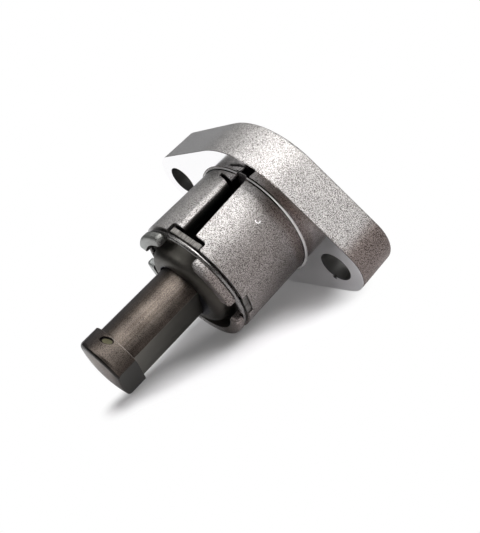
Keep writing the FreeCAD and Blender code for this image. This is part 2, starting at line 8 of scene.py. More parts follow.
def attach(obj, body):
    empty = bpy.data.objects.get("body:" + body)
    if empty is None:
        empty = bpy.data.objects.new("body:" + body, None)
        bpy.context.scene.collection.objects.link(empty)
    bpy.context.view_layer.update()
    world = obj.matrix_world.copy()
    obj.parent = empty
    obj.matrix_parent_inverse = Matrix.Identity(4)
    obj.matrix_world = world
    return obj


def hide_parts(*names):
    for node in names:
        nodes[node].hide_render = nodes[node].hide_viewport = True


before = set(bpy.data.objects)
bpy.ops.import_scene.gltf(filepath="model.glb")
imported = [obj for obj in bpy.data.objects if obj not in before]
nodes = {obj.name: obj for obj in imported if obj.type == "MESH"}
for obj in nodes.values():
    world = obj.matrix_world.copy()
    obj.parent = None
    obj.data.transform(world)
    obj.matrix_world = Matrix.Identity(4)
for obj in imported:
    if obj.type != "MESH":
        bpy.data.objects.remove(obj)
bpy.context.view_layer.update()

mm = 0.001
print("frame loaded,", len(nodes), "pieces")


# camera and stage

view = {
    "eye": Vector((62.22, -49.25, 94.01)) * mm,
    "aim": Vector((2.286, -7.940, -4.710)) * mm,
    "rollDegrees": -17.43,
    "focalLength": 41.93,
    "sensor": 36.0,
    "nearest": 5 * mm,  # distances between which the camera sees
    "farthest": 10.0,
}


def makeCamera():
    data = bpy.data.cameras.new("photoCamera")
    data.sensor_width = view["sensor"]
    data.lens = view["focalLength"]
    data.clip_start = view["nearest"]
    data.clip_end = view["farthest"]
    camera = bpy.data.objects.new("photoCamera", data)
    bpy.context.scene.collection.objects.link(camera)
    backwards = view["eye"] - view["aim"]
    level = backwards.to_track_quat("Z", "Y").to_matrix()
    turned = level @ Matrix.Rotation(math.radians(view["rollDegrees"]), 3, "Z")
    camera.matrix_world = Matrix.Translation(view["eye"]) @ turned.to_4x4()
    bpy.context.scene.camera = camera


# The object rests on a straight side of its flange and on the lip round the barrel's mouth.
lean = {
    "upAngle": 122.9,  # of the side that faces up, about the plunger axis, from +X
    "flangeReach": 17.04 * mm,
    "lipReach": 12.63 * mm,
    "lipDistance": 18.6 * mm,
    "capDistance": 39.6 * mm,
    "floorGap": 0.03 * mm,
    "floorRadius": 1.4,
    "floorSides": 64,
    "paper": (0.78, 0.77, 0.785, 1),
    "lift": 0.12,
    "mirroredLift": 0.075,
    "shadowNear": 0.8 * mm,  # how far round the cap and round the flange the paper shows shadow
    "shadowFar": 14 * mm,
    "shadowEnd": 8 * mm,
    "fadeNear": 5 * mm,
    "fadeFar": 11 * mm,
    "mirroredReach": 19 * mm,  # and how much further where the metal reflects it
    "white": 1.0,
}


def floorPlane():
    slope = math.atan2(lean["flangeReach"] - lean["lipReach"], lean["lipDistance"])
    around = math.radians(lean["upAngle"])
    up = Vector((math.cos(around) * math.cos(slope), math.sin(slope),
                 math.sin(around) * math.cos(slope)))
    return up, -lean["flangeReach"] * math.cos(slope) - lean["floorGap"]


def addObject(name, mesh):
    item = bpy.data.objects.new(name, mesh)
    bpy.context.scene.collection.objects.link(item)
    return item


def addNode(tree, kind, inputs=None, **settings):
    item = tree.nodes.new(kind)
    for key, value in settings.items():
        setattr(item, key, value)
    for key, value in (inputs or {}).items():
        if isinstance(value, bpy.types.NodeSocket):
            tree.links.new(value, item.inputs[key])
        else:
            item.inputs[key].default_value = value
    return item


def calc(tree, operation, first, second=0.0, third=0.0, clamp=False):
    item = addNode(tree, "ShaderNodeMath", {0: first, 1: second, 2: third},
                   operation=operation, use_clamp=clamp)
    return item.outputs[0]


def ramp(tree, value, low, high, toLow=0.0, toHigh=1.0):
    item = addNode(tree, "ShaderNodeMapRange",
                   {"Value": value, "From Min": low, "From Max": high,
                    "To Min": toLow, "To Max": toHigh}, interpolation_type="SMOOTHSTEP")
    return item.outputs[0]


def spread(tree, share, low, high):
    return calc(tree, "MULTIPLY_ADD", share, high - low, low)


def mixColour(tree, factor, first, second, blend="MIX"):
    item = addNode(tree, "ShaderNodeMix", {0: factor, 6: first, 7: second},
                   data_type="RGBA", blend_type=blend)
    return item.outputs[2]


def mixValue(tree, factor, first, second):
    return addNode(tree, "ShaderNodeMix", {0: factor, 2: first, 3: second}).outputs[0]


def combine(tree, operation, first, second):
    item = addNode(tree, "ShaderNodeVectorMath", {0: first, 1: second}, operation=operation)
    return item.outputs["Value" if operation in ("DISTANCE", "DOT_PRODUCT") else "Vector"]


def noise(tree, point, scale, detail):
    return addNode(tree, "ShaderNodeTexNoise", {
        "Vector": point, "Scale": scale, "Detail": detail}).outputs[0]


def separate(tree, vector):
    return addNode(tree, "ShaderNodeSeparateXYZ", {0: vector}).outputs


def newMaterial(name):
    material = bpy.data.materials.new(name)
    material.use_nodes = True
    tree = material.node_tree
    tree.nodes.clear()
    return material, tree


def objectPoint(tree):
    return addNode(tree, "ShaderNodeTexCoord").outputs["Object"]


def onFloor(point):
    up, height = floorPlane()
    return point - up * (point.dot(up) - height)


def makePaperMaterial():
    # plain white away from the object, paper with its shadow along the line from cap to flange
    material, tree = newMaterial("whitePaper")
    capFoot = onFloor(Vector((0, -lean["capDistance"], 0)))
    flangeFoot = onFloor(Vector((0, -lean["shadowEnd"], 0)))
    span = flangeFoot - capFoot
    fromCap = combine(tree, "SUBTRACT", objectPoint(tree), capFoot)
    along = combine(tree, "DOT_PRODUCT", fromCap, span / span.length_squared)
    share = calc(tree, "ADD", along, 0.0, clamp=True)
    nearest = addNode(tree, "ShaderNodeVectorMath", {0: span, "Scale": share},
                      operation="SCALE").outputs[0]
    away = combine(tree, "DISTANCE", fromCap, nearest)
    path = addNode(tree, "ShaderNodeLightPath").outputs
    reach = spread(tree, share, lean["shadowNear"], lean["shadowFar"])
    reach = calc(tree, "MULTIPLY_ADD", path["Is Glossy Ray"], lean["mirroredReach"], reach)
    fade = spread(tree, share, lean["fadeNear"], lean["fadeFar"])
    plain = ramp(tree, calc(tree, "DIVIDE", calc(tree, "SUBTRACT", away, reach), fade), 0.0, 1.0)
    watched = calc(tree, "MAXIMUM", path["Is Camera Ray"], calc(
        tree, "MAXIMUM", path["Is Glossy Ray"], path["Is Transmission Ray"]))
    seenLift = calc(tree, "MULTIPLY", path["Is Camera Ray"], lean["lift"])
    mirroredLift = calc(tree, "MULTIPLY", path["Is Glossy Ray"], lean["mirroredLift"])
    matt = addNode(tree, "ShaderNodeBsdfDiffuse", {"Color": lean["paper"]})
    glow = addNode(tree, "ShaderNodeEmission", {
        "Color": (1, 1, 1, 1), "Strength": calc(tree, "ADD", seenLift, mirroredLift)})
    paper = addNode(tree, "ShaderNodeAddShader", {0: matt.outputs[0], 1: glow.outputs[0]})
    white = addNode(tree, "ShaderNodeEmission", {
        "Color": (1, 1, 1, 1), "Strength": lean["white"]})
    shown = addNode(tree, "ShaderNodeMixShader", {
        0: calc(tree, "MULTIPLY", plain, watched), 1: paper.outputs[0], 2: white.outputs[0]})
    behind = addNode(tree, "ShaderNodeNewGeometry").outputs["Backfacing"]
    clear = addNode(tree, "ShaderNodeBsdfTransparent")
    oneSided = addNode(tree, "ShaderNodeMixShader", {
        0: behind, 1: shown.outputs[0], 2: clear.outputs[0]})
    addNode(tree, "ShaderNodeOutputMaterial", {"Surface": oneSided.outputs[0]})
    return material


def makeFloor():
    up, height = floorPlane()
    toPlane = up.to_track_quat("Z", "Y").to_matrix()
    mesh = bpy.data.meshes.new("floor")
    sides = lean["floorSides"]
    rim = [toPlane @ Vector((math.cos(2 * math.pi * side / sides) * lean["floorRadius"],
                             math.sin(2 * math.pi * side / sides) * lean["floorRadius"], height))
           for side in range(sides)]
    mesh.from_pydata(rim, [], [tuple(range(sides))])
    mesh.materials.append(makePaperMaterial())
    addObject("floor", mesh)


light = {
    "roomDark": (0.05, 0.05, 0.052, 1),
    "roomBright": (0.5, 0.49, 0.48, 1),
    "roomStrength": 0.5,
    "roomFull": 0.9,  # at 1 it would be brightest only straight towards the key lamp
    "lampDistance": 0.9,
    "keySize": 0.6,
    "keyPower": 5.8,
    "keyTowards": Vector((0.12, 0.64, 0.76)),
    "fillSize": 0.8,
    "fillPower": 4.8,
    "fillTowards": Vector((-0.27, 0.44, 0.86)),
    "frontSize": 0.5,
    "frontPower": 1.4,
    "frontTowards": Vector((-0.55, -0.42, 0.72)),
    "sideSize": 0.8,
    "sidePower": 0.4,
    "sideTowards": Vector((-0.93, 0.40, 0.02)),
}


def makeLights():
    world = bpy.data.worlds.new("darkStudio")
    bpy.context.scene.world = world
    world.use_nodes = True
    tree = world.node_tree
    tree.nodes.clear()
    towards = light["keyTowards"].normalized()
    path = addNode(tree, "ShaderNodeLightPath")
    facing = combine(tree, "DOT_PRODUCT", addNode(
        tree, "ShaderNodeTexCoord").outputs["Generated"], towards)
    colour = mixColour(tree, ramp(tree, facing, 0.0, light["roomFull"]),
                       light["roomDark"], light["roomBright"])
    room = addNode(tree, "ShaderNodeBackground", {
        "Color": colour, "Strength": light["roomStrength"]})
    backdrop = addNode(tree, "ShaderNodeBackground", {
        "Color": (1, 1, 1, 1), "Strength": lean["white"]})
    seen = addNode(tree, "ShaderNodeMixShader", {
        0: path.outputs["Is Camera Ray"], 1: room.outputs[0], 2: backdrop.outputs[0]})
    addNode(tree, "ShaderNodeOutputWorld", {"Surface": seen.outputs[0]})

    for name in ("key", "fill", "front", "side"):
        towards = light[name + "Towards"].normalized()
        data = bpy.data.lights.new(name + "Softbox", "AREA")
        data.shape = "DISK"
        data.size = light[name + "Size"]
        data.energy = light[name + "Power"]
        lamp = bpy.data.objects.new(name + "Softbox", data)
        bpy.context.scene.collection.objects.link(lamp)
        lamp.matrix_world = (Matrix.Translation(towards * light["lampDistance"])
                             @ towards.to_track_quat("Z", "Y").to_matrix().to_4x4())
    bpy.context.scene.view_settings.view_transform = "Standard"


makeCamera()
makeFloor()
makeLights()
print("camera, floor and lights made")


# effects that several materials share

def newGroup(name, inputs, outputs):
    group = bpy.data.node_groups.new(name, "ShaderNodeTree")
    for label, kind, value in inputs:
        socket = group.interface.new_socket(label, in_out="INPUT", socket_type="NodeSocket" + kind)
        if value is not None:
            socket.default_value = value
    for label, kind in outputs:
        group.interface.new_socket(label, in_out="OUTPUT", socket_type="NodeSocket" + kind)
    entry = group.nodes.new("NodeGroupInput")
    leave = group.nodes.new("NodeGroupOutput")
    return group, entry.outputs, leave.inputs


def useGroup(tree, group, inputs):
    return addNode(tree, "ShaderNodeGroup", inputs, node_tree=group).outputs


grainShape = {
    "toneRange": (0.41, 0.57),
    "blotchRange": (0.3, 0.7),
    "pitScale": 0.35,  # cells that may be pits, for each grain
    "pitChoice": 0.93,  # share of the cells that stay smooth
    "pitRim": (0.36, 0.2),
    "pitDepth": 0.5,
}


def makeGrainGroup():
    # fine speckle and scattered pits of a blasted or sanded surface
    group, entry, leave = newGroup(
        "surfaceGrain",
        [("Vector", "Vector", None), ("Grain Size", "Float", 0.3 * mm),
         ("Blotch Size", "Float", 4 * mm)],
        [("Height", "Float"), ("Tone", "Float"), ("Pits", "Float"), ("Blotch", "Float")])
    fineScale = calc(group, "DIVIDE", 1.0, entry["Grain Size"])
    blotchScale = calc(group, "DIVIDE", 1.0, entry["Blotch Size"])
    pitScale = calc(group, "MULTIPLY", fineScale, grainShape["pitScale"])
    sand = noise(group, entry["Vector"], fineScale, 1.0)
    cloud = noise(group, entry["Vector"], blotchScale, 2.0)
    cells = addNode(group, "ShaderNodeTexVoronoi", {
        "Vector": entry["Vector"], "Scale": pitScale}).outputs
    draw = addNode(group, "ShaderNodeSeparateColor", {0: cells["Color"]}).outputs[0]
    chosen = calc(group, "GREATER_THAN", draw, grainShape["pitChoice"])
    tone = ramp(group, sand, *grainShape["toneRange"])
    pits = calc(group, "MULTIPLY", chosen, ramp(group, cells["Distance"], *grainShape["pitRim"]))
    height = calc(group, "SUBTRACT", tone, calc(group, "MULTIPLY", pits, grainShape["pitDepth"]))
    group.links.new(height, leave["Height"])
    group.links.new(tone, leave["Tone"])
    group.links.new(pits, leave["Pits"])
    group.links.new(ramp(group, cloud, *grainShape["blotchRange"]), leave["Blotch"])
    return group


grainGroup = makeGrainGroup()


def useGrain(tree, look, point):
    return useGroup(tree, grainGroup, {
        "Vector": point, "Grain Size": look["grainSize"], "Blotch Size": look["blotchSize"]})


print("shared effects made")


# materials

def finishMetal(tree, colour, roughness, height, bumpDistance, metallic=1.0):
    bump = addNode(tree, "ShaderNodeBump", {"Height": height, "Distance": bumpDistance})
    shader = addNode(tree, "ShaderNodeBsdfPrincipled", {
        "Base Color": colour, "Roughness": roughness, "Metallic": metallic,
        "Normal": bump.outputs[0]})
    addNode(tree, "ShaderNodeOutputMaterial", {"Surface": shader.outputs[0]})


# In these looks a pair named Along, Across, Up, Inwards or Outwards runs from where an effect
# starts to where it is full.
castLook = {
    "light": (0.70, 0.68, 0.665, 1),
    "dark": (0.055, 0.045, 0.042, 1),
    # plain tone where the grain is quiet towards -X: a smoother surface, made lighter there as
    # painted light
    "plain": (0.66, 0.66, 0.67, 1),
    "pit": (0.03, 0.025, 0.024, 1),
    "grainSize": 0.122 * mm,
    "blotchSize": 5.0 * mm,
    "blotchShare": 0.08,
    "roughness": (0.38, 0.50),
    "bump": 0.02 * mm,
    "paintedShade": (0.47, 0.405, 0.385, 1),  # painted shade, brownish: darker towards the flange and at its right end
    "paintedShadeAlong": (-5.5 * mm, -1.0 * mm),
    "paintedShadeAcross": (3.0 * mm, 8.5 * mm),
    "endShadeAcross": (20.5 * mm, 23.5 * mm),
    "sideShade": 0.6,  # share of it along the barrel's right side
    "sideShadeAcross": (3.5 * mm, 11.0 * mm),
    "rightLipShade": 0.8,  # share of it on the lips round the mouth, towards +X
    "rightLipShadeAcross": (5.0 * mm, 8.5 * mm),
    "lipStart": -16.5 * mm,
    "lipShade": (0.72, 0.75, 0.73, 1),  # of the lip on the other side
    "grainAcross": (-13.0 * mm, -4.0 * mm),
    "quietGrain": 0.3,  # share of the grain that is left towards -X
    "flangeEdgeShade": (0.10, 0.09, 0.085, 1),  # painted shade lines along the flange's front and rear edges
    "frontEdge": (0.01 * mm, 0.16 * mm),  # from where to where the front one lies
    "rearEdgeAlong": (8.62 * mm, 8.8 * mm),
    "rearEdgeStop": 8.985 * mm,
    "face": (0.97, 0.965, 0.975, 1),
    "faceRoughness": 0.11,
    "paintedReflection": (0.66, 0.61, 0.58, 1),  # painted darker brown reflection on the face above the barrel
    "paintedReflectionAcross": (2.5 * mm, 6.5 * mm),
    "paintedReflectionUp": (7.5 * mm, 11.0 * mm),
    "root": (0.95, 0.94, 0.93, 1),  # painted highlight: bright line in the rounding between barrel and face
    # painted shade on both sides of the bright line
    "rootShade": (0.10, 0.09, 0.085, 1),
    "rootReach": 0.62 * mm,
    "rootInner": 13.0 * mm,
    "rootOuter": (13.24 * mm, 13.47 * mm),  # the line widens towards the right, to the second
    "rootWidensAcross": (7.5 * mm, 11.0 * mm),
    "rootRoughness": 0.17,
    "rootShine": 0.6,  # how far the painted highlight line shows pale from all sides
    # painted shade: the bore and the bolt holes are coloured darker than the face's metal
    "bore": (0.30, 0.29, 0.28, 1),
    "boreRadius": 8.45 * mm,
    "mouthRadius": 10.65 * mm,
    "mouthDepth": 15.0 * mm,
    "hole": (0.23, 0.225, 0.22, 1),
    "holePlace": 20.0 * mm,
    "holeRadius": 3.34 * mm,
    # painted shadow: black on the slot's lower walls and in a nick
    "slot": (0.018, 0.016, 0.015, 1),
    "slotRadius": (12.15 * mm, 12.45 * mm),  # its painted black shadow ends unevenly between these two
    "slotStart": 0.05 * mm,
    "slotDepth": 14.7 * mm,
    "nickPlace": Vector((19.57, 0, -3.63)) * mm,  # painted black shadow in a nick at the rim of the right hole
    "nickRadius": (0.30 * mm, 0.55 * mm),  # uneven in the same way
    "flawAngle": math.radians(53.7),  # small raised crescent on the barrel, painted as a bright highlight
    "flawPlace": -5.06 * mm,
    "flawRadius": 0.43 * mm,
    "flawWidth": 0.10 * mm,
    "flawPastMiddle": 0.1 * mm,  # how far the crescent reaches past half a ring
    "barrelRadius": 12.85 * mm,
    "slack": 0.02 * mm,  # by which a surface may miss its plane or cylinder
}


def within(tree, value, limit):
    return calc(tree, "LESS_THAN", value, limit)


def beyond(tree, value, limit):
    return calc(tree, "GREATER_THAN", value, limit)


def both(tree, first, second):
    return calc(tree, "MULTIPLY", first, second)


def either(tree, first, second):
    return calc(tree, "MAXIMUM", first, second)


def length2(tree, first, second):
    return calc(tree, "SQRT", calc(tree, "ADD", calc(tree, "MULTIPLY", first, first),
                                   calc(tree, "MULTIPLY", second, second)))


def machinedPlaces(tree, look, split, around, depth):
    # where the sealing face, the rounding at its root, the bore and the bolt holes are
    outside = beyond(tree, around, look["barrelRadius"] + look["slack"])
    onFace = both(tree, within(tree, depth, look["slack"]), outside)
    onRoot = both(tree, both(tree, within(tree, depth, look["rootReach"]), outside),
                  within(tree, around, look["barrelRadius"] + look["rootReach"]))
    inMouth = both(tree, within(tree, around, look["mouthRadius"]),
                   within(tree, split["Y"], -look["mouthDepth"]))
    inBore = either(tree, inMouth, within(tree, around, look["boreRadius"]))
    acrossHole = calc(tree, "SUBTRACT", calc(tree, "ABSOLUTE", split["X"]), look["holePlace"])
    inHole = both(tree, within(tree, length2(tree, acrossHole, split["Z"]), look["holeRadius"]),
                  beyond(tree, depth, look["slack"]))
    return onFace, onRoot, inBore, inHole


# where painted shade darkens the barrel, the lips and the flange's right end
def paintedShadePlaces(tree, look, split, around):
    onBarrel = both(tree, ramp(tree, split["Y"], *look["paintedShadeAlong"]), both(
        tree, ramp(tree, split["X"], *look["paintedShadeAcross"]), within(tree, split["Y"], 0.0)))
    onSide = both(tree, within(tree, around, look["barrelRadius"] + look["slack"]), ramp(
        tree, split["X"], *look["sideShadeAcross"], 0.0, look["sideShade"]))
    onLip = both(tree, within(tree, split["Y"], look["lipStart"]), ramp(
        tree, split["X"], *look["rightLipShadeAcross"], 0.0, look["rightLipShade"]))
    endShade = ramp(tree, split["X"], *look["endShadeAcross"])
    return either(tree, either(tree, onBarrel, endShade), either(tree, onSide, onLip))


def edgeShadePlaces(tree, look, split):
    low, high = look["frontEdge"]
    front = both(tree, beyond(tree, split["Y"], low), within(tree, split["Y"], high))
    rear = both(tree, ramp(tree, split["Y"], *look["rearEdgeAlong"]),
                within(tree, split["Y"], look["rearEdgeStop"]))
    return either(tree, front, rear)


def crescentPlace(tree, look, point, split):
    middle = Vector((math.cos(look["flawAngle"]) * look["barrelRadius"], look["flawPlace"],
                     math.sin(look["flawAngle"]) * look["barrelRadius"]))
    away = combine(tree, "DISTANCE", point, middle)
    onRing = within(tree, calc(tree, "ABSOLUTE", calc(
        tree, "SUBTRACT", away, look["flawRadius"])), look["flawWidth"])
    onHalf = within(tree, calc(tree, "SUBTRACT", split["Y"], split["X"]),
                    middle.y - middle.x + look["flawPastMiddle"])
    return both(tree, onRing, onHalf)


def makeHousingMaterial():
    material, tree = newMaterial("blastedCastAluminium")
    look = castLook
    point = objectPoint(tree)
    split = separate(tree, point)
    grain = useGrain(tree, look, point)
    around = length2(tree, split["X"], split["Z"])
    depth = calc(tree, "ABSOLUTE", split["Y"])
    onFace, onRoot, inBore, inHole = machinedPlaces(tree, look, split, around, depth)

    quiet = ramp(tree, split["X"], *look["grainAcross"], look["quietGrain"], 1.0)
    tone = calc(tree, "ADD", calc(tree, "MULTIPLY", grain["Tone"], 1 - look["blotchShare"]),
                calc(tree, "MULTIPLY", grain["Blotch"], look["blotchShare"]))
    grainy = mixColour(tree, grain["Pits"], mixColour(tree, tone, look["dark"], look["light"]),
                       look["pit"])
    # the lighter plain tone towards -X is partly painted light
    cast = mixColour(tree, quiet, look["plain"], grainy)
    # painted shade, brownish, multiplied into the cast colour
    shadedCast = mixColour(tree, 1.0, cast, look["paintedShade"], "MULTIPLY")
    cast = mixColour(tree, paintedShadePlaces(tree, look, split, around), cast, shadedCast)
    leftLip = both(tree, within(tree, split["Y"], look["lipStart"]), within(tree, split["X"], 0.0))
    cast = mixColour(tree, leftLip, cast, look["lipShade"], "MULTIPLY")
    # painted highlight on the raised crescent
    cast = mixColour(tree, crescentPlace(tree, look, point, split), cast, look["face"])
    # painted shade lines along the flange's edges
    cast = mixColour(tree, edgeShadePlaces(tree, look, split), cast, look["flangeEdgeShade"])

    # painted darker reflection on the face
    paintedReflectionPlace = both(tree, ramp(tree, split["X"], *look["paintedReflectionAcross"]),
                  ramp(tree, split["Z"], *look["paintedReflectionUp"]))
    face = mixColour(tree, paintedReflectionPlace, look["face"], look["paintedReflection"])
    rootOuter = ramp(tree, split["X"], *look["rootWidensAcross"], *look["rootOuter"])
    # painted highlight line in the root's rounding, painted shade beside it
    rootHighlight = both(tree, beyond(tree, around, look["rootInner"]), within(tree, around, rootOuter))
    root = mixColour(tree, rootHighlight, look["rootShade"], look["root"])
    colour = mixColour(tree, onRoot, mixColour(tree, onFace, cast, face), root)
    # painted shade in the bore and the bolt holes
    colour = mixColour(tree, inHole, mixColour(tree, inBore, colour, look["bore"]), look["hole"])
    # painted shadow in the slot
    slotRadius = spread(tree, grain["Tone"], *look["slotRadius"])
    inSlotShadow = both(tree, both(tree, within(tree, around, slotRadius), beyond(
        tree, depth, look["slotStart"])), both(tree, beyond(
            tree, split["Y"], -look["slotDepth"]), within(tree, split["Y"], 0.0)))
    colour = mixColour(tree, inSlotShadow, colour, look["slot"])
    # painted shadow in the nick
    onNickShadow = within(tree, combine(tree, "DISTANCE", point, look["nickPlace"]),
                    spread(tree, grain["Tone"], *look["nickRadius"]))
    colour = mixColour(tree, onNickShadow, colour, look["slot"])

    roughness = spread(tree, grain["Tone"], *look["roughness"])
    roughness = mixValue(tree, onFace, roughness, look["faceRoughness"])
    roughness = mixValue(tree, onRoot, roughness, look["rootRoughness"])
    machined = either(tree, either(tree, onFace, onRoot), either(tree, inBore, inHole))
    height = both(tree, both(tree, grain["Height"], quiet), calc(tree, "SUBTRACT", 1.0, machined))
    # the painted highlight line shows pale from all sides
    metallic = calc(tree, "SUBTRACT", 1.0, calc(
        tree, "MULTIPLY", both(tree, onRoot, rootHighlight), look["rootShine"]))
    finishMetal(tree, colour, roughness, height, look["bump"], metallic)
    return material


def steelTones(tree, look, grain):
    tone = calc(tree, "ADD", calc(tree, "MULTIPLY", grain["Tone"], look["speckle"]),
                calc(tree, "MULTIPLY", grain["Blotch"], 1 - look["speckle"]))
    return (mixColour(tree, tone, look["dark"], look["light"]),
            spread(tree, grain["Tone"], *look["roughness"]))


def makeSteelMaterial(name, look):
    material, tree = newMaterial(name)
    grain = useGrain(tree, look, objectPoint(tree))
    colour, roughness = steelTones(tree, look, grain)
    finishMetal(tree, colour, roughness, grain["Height"], look["bump"])
    return material


def drawStreaks(tree, look, point):
    # long along the plunger axis and narrow across it
    stretched = combine(tree, "MULTIPLY", point, (1, look["streakSqueeze"], 1))
    streak = noise(tree, stretched, 1 / look["streakSize"], look["streakDetail"])
    return ramp(tree, streak, *look["streakRange"])


plungerLook = {
    "light": (0.225, 0.19, 0.163, 1), "dark": (0.07, 0.058, 0.052, 1), "grainSize": 0.13 * mm,
    "blotchSize": 3.0 * mm, "speckle": 0.65, "roughness": (0.32, 0.40), "bump": 0.006 * mm,
    "streakSize": 0.35 * mm, "streakSqueeze": 0.03, "streakDetail": 2.0,
    "streakRange": (0.4, 0.65),
    "streak": (0.80, 0.78, 0.76, 1),
    "coolShade": (0.17, 0.162, 0.17, 1),  # painted shade, cool grey, on the side away from the flat
    "coolShadeAcross": (-1.5 * mm, -5.5 * mm),
    "coolShadeShare": 0.7,
    "flatAngle": math.radians(-9.5),
    "flatRoughness": 0.42,
    "edgeReach": (2.0 * mm, 0.1 * mm),  # the round side darkens as it nears the flat
    "edgeShade": (0.36, 0.34, 0.34, 1),
    # the cap's flat is much darker than the tube's: painted dark reflection
    "flat": {"tube": (0.13, 0.124, 0.108, 1), "cap": (0.031, 0.029, 0.025, 1)},
    "flatReach": {"tube": 3.93 * mm, "cap": 4.55 * mm},
    # painted shade lines round the cap's end, under its rim and round the dimple
    "outline": (0.025, 0.022, 0.02, 1),
    "endAlong": (-39.93 * mm, -40.05 * mm),  # painted shade line round the cap's end
    "endRadius": (5.5 * mm, 5.75 * mm),
    "rimStart": -36.22 * mm,  # rolled rim of the cap
    "rimGapRadius": 5.9 * mm,
    "rimRadius": 6.05 * mm,
    # painted highlight along the rim's outer edge
    "rim": (0.34, 0.31, 0.28, 1),
    "rimHighlightShare": 0.4,
    "dimplePlace": Vector((0, -37.07, 6.3)) * mm,  # oval dimple that stakes the cap, at the top
    "dimpleTilt": math.radians(-20),
    "dimpleHalves": (1.3 * mm, 0.6 * mm),
    "dimpleReach": 0.78,  # share of its halves where its olive ends
    "dimpleShadeReach": 1.12,  # and where its painted shade outline ends
    "dimpleHeight": 3 * mm,  # the mark shows only above this
    "olive": (0.115, 0.108, 0.068, 1),
}


def addCapMarks(tree, look, point, split, colour):
    around = length2(tree, split["X"], split["Z"])
    endShade = both(tree, ramp(tree, split["Y"], *look["endAlong"]),
                 ramp(tree, around, *look["endRadius"]))
    onRim = beyond(tree, split["Y"], look["rimStart"])
    onRimHighlight = both(tree, onRim, beyond(tree, around, look["rimRadius"]))
    rimGapShade = both(tree, onRim, within(tree, around, look["rimGapRadius"]))
    place, (across, along) = look["dimplePlace"], look["dimpleHalves"]
    turned = separate(tree, addNode(tree, "ShaderNodeVectorRotate", {
        0: point, "Center": place, "Axis": (0, 0, 1), "Angle": look["dimpleTilt"]},
        rotation_type="AXIS_ANGLE").outputs[0])
    away = length2(tree, calc(tree, "DIVIDE", turned["X"], across), calc(
        tree, "DIVIDE", calc(tree, "SUBTRACT", turned["Y"], place.y), along))
    onTop = beyond(tree, split["Z"], look["dimpleHeight"])
    dimple = both(tree, onTop, within(tree, away, look["dimpleReach"]))
    dimpleShadeLine = both(tree, onTop, within(tree, away, look["dimpleShadeReach"]))
    # painted shade lines and a painted highlight on the rim
    colour = mixColour(tree, endShade, colour, look["outline"])
    colour = mixColour(tree, calc(tree, "MULTIPLY", onRimHighlight, look["rimHighlightShare"]), colour, look["rim"])
    colour = mixColour(tree, rimGapShade, colour, look["outline"])
    colour = mixColour(tree, dimpleShadeLine, colour, look["outline"])
    return mixColour(tree, dimple, colour, look["olive"])


def makePlungerMaterial(name, part):
    material, tree = newMaterial(name)
    look = plungerLook
    point = objectPoint(tree)
    split = separate(tree, point)
    grain = useGrain(tree, look, point)
    colour, roughness = steelTones(tree, look, grain)
    towardsFlat = calc(tree, "ADD", calc(tree, "MULTIPLY", split["X"], math.cos(look["flatAngle"])),
                       calc(tree, "MULTIPLY", split["Z"], math.sin(look["flatAngle"])))
    reach = look["flatReach"][part]
    onFlat = beyond(tree, towardsFlat, reach)
    start, full = look["edgeReach"]
    nearFlat = ramp(tree, towardsFlat, reach - start, reach - full)
    # painted shade on the side away from the flat
    shadeAwayFromFlat = ramp(tree, towardsFlat, *look["coolShadeAcross"], 0.0, look["coolShadeShare"])
    if part == "tube":
        colour = mixColour(tree, drawStreaks(tree, look, point), colour, look["streak"], "MULTIPLY")
    colour = mixColour(tree, shadeAwayFromFlat, colour, look["coolShade"])
    colour = mixColour(tree, nearFlat, colour, look["edgeShade"], "MULTIPLY")
    colour = mixColour(tree, onFlat, colour, look["flat"][part])
    if part == "cap":
        colour = addCapMarks(tree, look, point, split, colour)
    roughness = mixValue(tree, onFlat, roughness, look["flatRoughness"])
    height = both(tree, grain["Height"], calc(tree, "SUBTRACT", 1.0, onFlat))
    finishMetal(tree, colour, roughness, height, look["bump"])
    return material


plateLook = {
    "light": (0.115, 0.108, 0.097, 1), "dark": (0.078, 0.074, 0.065, 1), "grainSize": 0.3 * mm,
    "blotchSize": 3.0 * mm, "speckle": 0.25, "roughness": (0.42, 0.50), "bump": 0.004 * mm,
    "plateShade": (0.58, 0.56, 0.55, 1),  # painted shade, darker towards +X
    "plateShadeAcross": (1.0 * mm, 7.0 * mm),
    "ear": (0.215, 0.205, 0.195, 1),  # sheared end of each ear, with streaks across the sheet
    "earDark": (0.085, 0.08, 0.075, 1),
    "earOutwards": (11.3 * mm, 12.1 * mm),
    "streakSize": 0.16 * mm, "streakSqueeze": 0.1, "streakDetail": 1.0,
    "streakRange": (0.35, 0.65),
    # painted shadow round the plunger at the edge of the plate's hole
    "hole": (0.02, 0.021, 0.03, 1),
    "holeInwards": (6.45 * mm, 6.1 * mm),
}


def makePlateMaterial():
    material, tree = newMaterial("darkPlateSteel")
    look = plateLook
    point = objectPoint(tree)
    split = separate(tree, point)
    around = length2(tree, split["X"], split["Z"])
    grain = useGrain(tree, look, point)
    colour, roughness = steelTones(tree, look, grain)
    # painted shade towards +X
    plateShade = ramp(tree, split["X"], *look["plateShadeAcross"])
    colour = mixColour(tree, plateShade, colour, look["plateShade"], "MULTIPLY")
    ear = mixColour(tree, drawStreaks(tree, look, point), look["earDark"], look["ear"])
    colour = mixColour(tree, ramp(tree, around, *look["earOutwards"]), colour, ear)
    # painted shadow at the edge of the hole
    colour = mixColour(tree, ramp(tree, around, *look["holeInwards"]), colour, look["hole"])
    finishMetal(tree, colour, roughness, grain["Height"], look["bump"])
    return material


